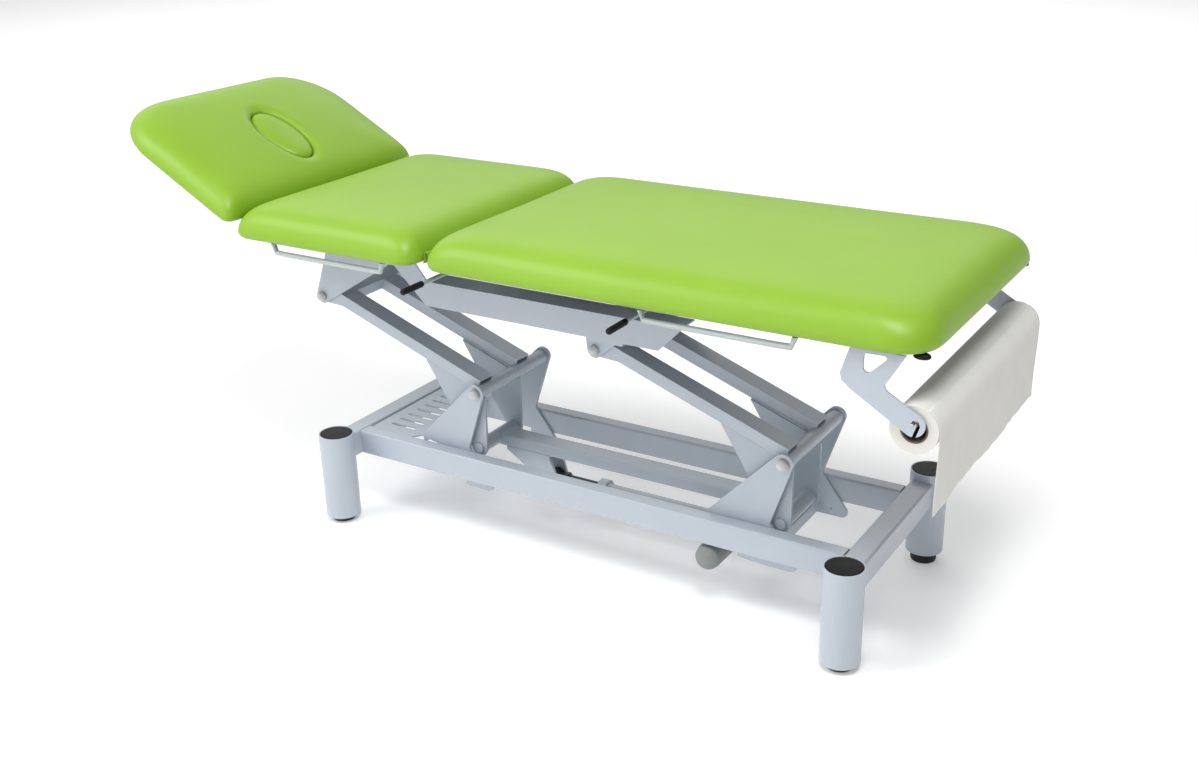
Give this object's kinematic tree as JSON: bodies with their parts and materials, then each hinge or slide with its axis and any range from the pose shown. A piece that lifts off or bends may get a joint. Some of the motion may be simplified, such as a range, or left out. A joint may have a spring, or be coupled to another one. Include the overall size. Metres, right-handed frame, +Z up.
{
  "type": "examination couch",
  "caption": "Height-adjustable examination couch: raised headrest with face-hole plug, fixed middle pad, long rising section, pedal-pumped lift arms and a paper roll below the end.",
  "frame": {"origin": "centre of the couch's bounding box, on the floor", "axes": "+X towards the end with the paper roll, +Y away from the pedal side, +Z up"},
  "size_m": [1.8698, 0.668, 0.8854],
  "materials": {
    "powder_coat": "satin light grey powder coat",
    "black_plastic": "matt",
    "foot_rubber": "matt",
    "vinyl": "smooth soft sheen upholstery vinyl",
    "zinc": "zinc plated",
    "wire": "satin",
    "cardboard": "matt",
    "paper": "matt crepe",
    "pedal_rubber": "matt",
    "hydraulic": "satin",
    "dark_steel": "dark, threaded",
    "chrome": "polished",
    "lever_grip": "soft matt grip on a steel rod"
  },
  "bodies": {
    "base": {"base_rail_near": "powder_coat", "base_rail_far": "powder_coat", "base_cross_tube_head": "powder_coat", "base_cross_tube_foot": "powder_coat", "leg_tube_head_near": "powder_coat", "leg_tube_head_far": "powder_coat", "leg_tube_foot_near": "powder_coat", "leg_tube_foot_far": "powder_coat", "leg_cap_head_near": "black_plastic", "leg_cap_head_far": "black_plastic", "leg_cap_foot_near": "black_plastic", "leg_cap_foot_far": "black_plastic", "stand_plate_head_near": "powder_coat", "stand_plate_head_far": "powder_coat", "stand_foot": "powder_coat", "base_cover_plate": "powder_coat", "pivot_bolt_head": "zinc", "pivot_bolt_foot": "zinc", "lift_cylinder": "hydraulic", "pump_body": "hydraulic"},
    "arms_head": {"arm_fork_head": "powder_coat", "crank_head": "powder_coat"},
    "arms_foot": {"arm_fork_foot": "powder_coat", "crank_foot": "powder_coat"},
    "link": {"link_bar": "powder_coat"},
    "ram": {"piston_rod": "dark_steel"},
    "pedal": {"pump_lever": "powder_coat", "pedal_sleeve": "pedal_rubber"},
    "upper_frame": {"side_panel_near": "powder_coat", "side_panel_far": "powder_coat", "frame_crossbar": "powder_coat", "mid_frame": "powder_coat", "upper_bolt_head": "zinc", "upper_bolt_foot": "zinc", "mid_pad": "vinyl", "wire_loop_mid_near": "wire", "wire_loop_mid_far": "wire"},
    "long_section": {"leg_frame": "powder_coat", "leg_pad": "vinyl", "wire_loop_leg_near": "wire", "wire_loop_leg_far": "wire", "roll_holder_near": "powder_coat", "roll_holder_far": "powder_coat", "roll_rod": "zinc", "paper_tail": "paper"},
    "headrest": {"head_frame": "powder_coat", "head_pad": "vinyl"},
    "face_plug": {"head_plug": "vinyl"},
    "roll": {"roll_core": "cardboard", "paper_roll": "paper"},
    "head_lever": {"lever_head": "lever_grip"},
    "long_lever": {"lever_leg": "lever_grip"},
    "long_spring_barrel": {"gas_spring_leg_barrel": "dark_steel"},
    "long_spring_rod": {"gas_spring_leg_rod": "chrome"},
    "head_spring_barrel": {"gas_spring_head_barrel": "dark_steel"},
    "head_spring_rod": {"gas_spring_head_rod": "chrome"},
    "level_foot_head_near": {"foot_head_near": "foot_rubber"},
    "level_foot_head_far": {"foot_head_far": "foot_rubber"},
    "level_foot_foot_near": {"foot_foot_near": "foot_rubber"},
    "level_foot_foot_far": {"foot_foot_far": "foot_rubber"}
  },
  "joints": [
    {"name": "lift", "type": "hinge", "parent": "base", "child": "arms_head", "pos_m": [-0.10941, 0.016, 0.3263], "axis": [0, 1, 0], "range_deg": [-28, 40]},
    {"name": "lift_arms_foot", "type": "hinge", "parent": "base", "child": "arms_foot", "pos_m": [0.59649, 0.016, 0.3263], "axis": [0, 1, 0], "range_deg": [-28, 40]},
    {"name": "lift_upper_frame", "type": "hinge", "parent": "arms_head", "child": "upper_frame", "pos_m": [-0.52111, 0.016, 0.4764], "axis": [0, 1, 0], "range_deg": [-40, 28]},
    {"name": "lift_link", "type": "hinge", "parent": "arms_head", "child": "link", "pos_m": [-0.11641, -0.016, 0.1953], "axis": [0, 1, 0], "range_deg": [-40, 28]},
    {"name": "lift_ram", "type": "slide", "parent": "base", "child": "ram", "axis": [1, 0, 0], "range_m": [-0.0862, 0.0605]},
    {"name": "long_section_tilt", "type": "hinge", "parent": "upper_frame", "child": "long_section", "pos_m": [-0.10021, 0.016, 0.668], "axis": [0, -1, 0], "range_deg": [0, 60]},
    {"name": "long_spring_swing", "type": "hinge", "parent": "upper_frame", "child": "long_spring_barrel", "pos_m": [-0.08021, 0.016, 0.613], "axis": [0, -1, 0], "range_deg": [0, 60]},
    {"name": "long_spring_stroke", "type": "slide", "parent": "long_spring_barrel", "child": "long_spring_rod", "axis": [1, 0, 0.0083], "range_m": [0, 0.0577]},
    {"name": "headrest_tilt", "type": "hinge", "parent": "upper_frame", "child": "headrest", "pos_m": [-0.60271, 0.016, 0.634], "axis": [0, 1, 0], "range_deg": [-68.5, 6.5]},
    {"name": "head_spring_swing", "type": "hinge", "parent": "upper_frame", "child": "head_spring_barrel", "pos_m": [-0.58771, 0.1, 0.604], "axis": [0, 1, 0], "range_deg": [-64.5, 6.2]},
    {"name": "head_spring_stroke", "type": "slide", "parent": "head_spring_barrel", "child": "head_spring_rod", "axis": [-0.8617, 0, 0.5074], "range_m": [-0.0346, 0.0034]},
    {"name": "face_plug_lift", "type": "slide", "parent": "headrest", "child": "face_plug", "axis": [0.4772, 0, 0.8788], "range_m": [0, 0.06]},
    {"name": "roll_spin", "type": "hinge", "parent": "long_section", "child": "roll", "pos_m": [0.89129, 0.016, 0.524], "axis": [0, 1, 0], "continuous": true},
    {"name": "head_lever_lift", "type": "hinge", "parent": "upper_frame", "child": "head_lever", "pos_m": [-0.09971, -0.104, 0.617], "axis": [-1, 0, 0], "range_deg": [0, 6], "stiffness_Nm_per_rad": 8, "springref_deg": -6.88},
    {"name": "long_lever_lift", "type": "hinge", "parent": "long_section", "child": "long_lever", "pos_m": [0.35629, -0.116, 0.617], "axis": [-1, 0, 0], "range_deg": [0, 6], "stiffness_Nm_per_rad": 8, "springref_deg": -6.88},
    {"name": "pedal_press", "type": "hinge", "parent": "base", "child": "pedal", "pos_m": [0.45429, 0.012, 0.089], "axis": [1, 0, 0], "range_deg": [0, 15], "stiffness_Nm_per_rad": 20, "springref_deg": -11.46},
    {"name": "level_head_near", "type": "slide", "parent": "base", "child": "level_foot_head_near", "axis": [0, 0, 1], "range_m": [-0.015, 0]},
    {"name": "level_head_far", "type": "slide", "parent": "base", "child": "level_foot_head_far", "axis": [0, 0, 1], "range_m": [-0.015, 0]},
    {"name": "level_foot_near", "type": "slide", "parent": "base", "child": "level_foot_foot_near", "axis": [0, 0, 1], "range_m": [-0.015, 0]},
    {"name": "level_foot_far", "type": "slide", "parent": "base", "child": "level_foot_foot_far", "axis": [0, 0, 1], "range_m": [-0.015, 0]}
  ],
  "couplings": [
    {"joint": "lift_arms_foot", "follows": "lift", "ratio": 1},
    {"joint": "lift_upper_frame", "follows": "lift", "ratio": -1},
    {"joint": "lift_link", "follows": "lift", "ratio": -1},
    {"joint": "lift_ram", "follows": "lift", "m_per_rad": -0.1225},
    {"joint": "long_spring_swing", "follows": "long_section_tilt", "ratio": 0.9757},
    {"joint": "long_spring_stroke", "follows": "long_section_tilt", "m_per_rad": 0.05508},
    {"joint": "head_spring_swing", "follows": "headrest_tilt", "ratio": 0.93},
    {"joint": "head_spring_stroke", "follows": "headrest_tilt", "m_per_rad": 0.02859}
  ]
}
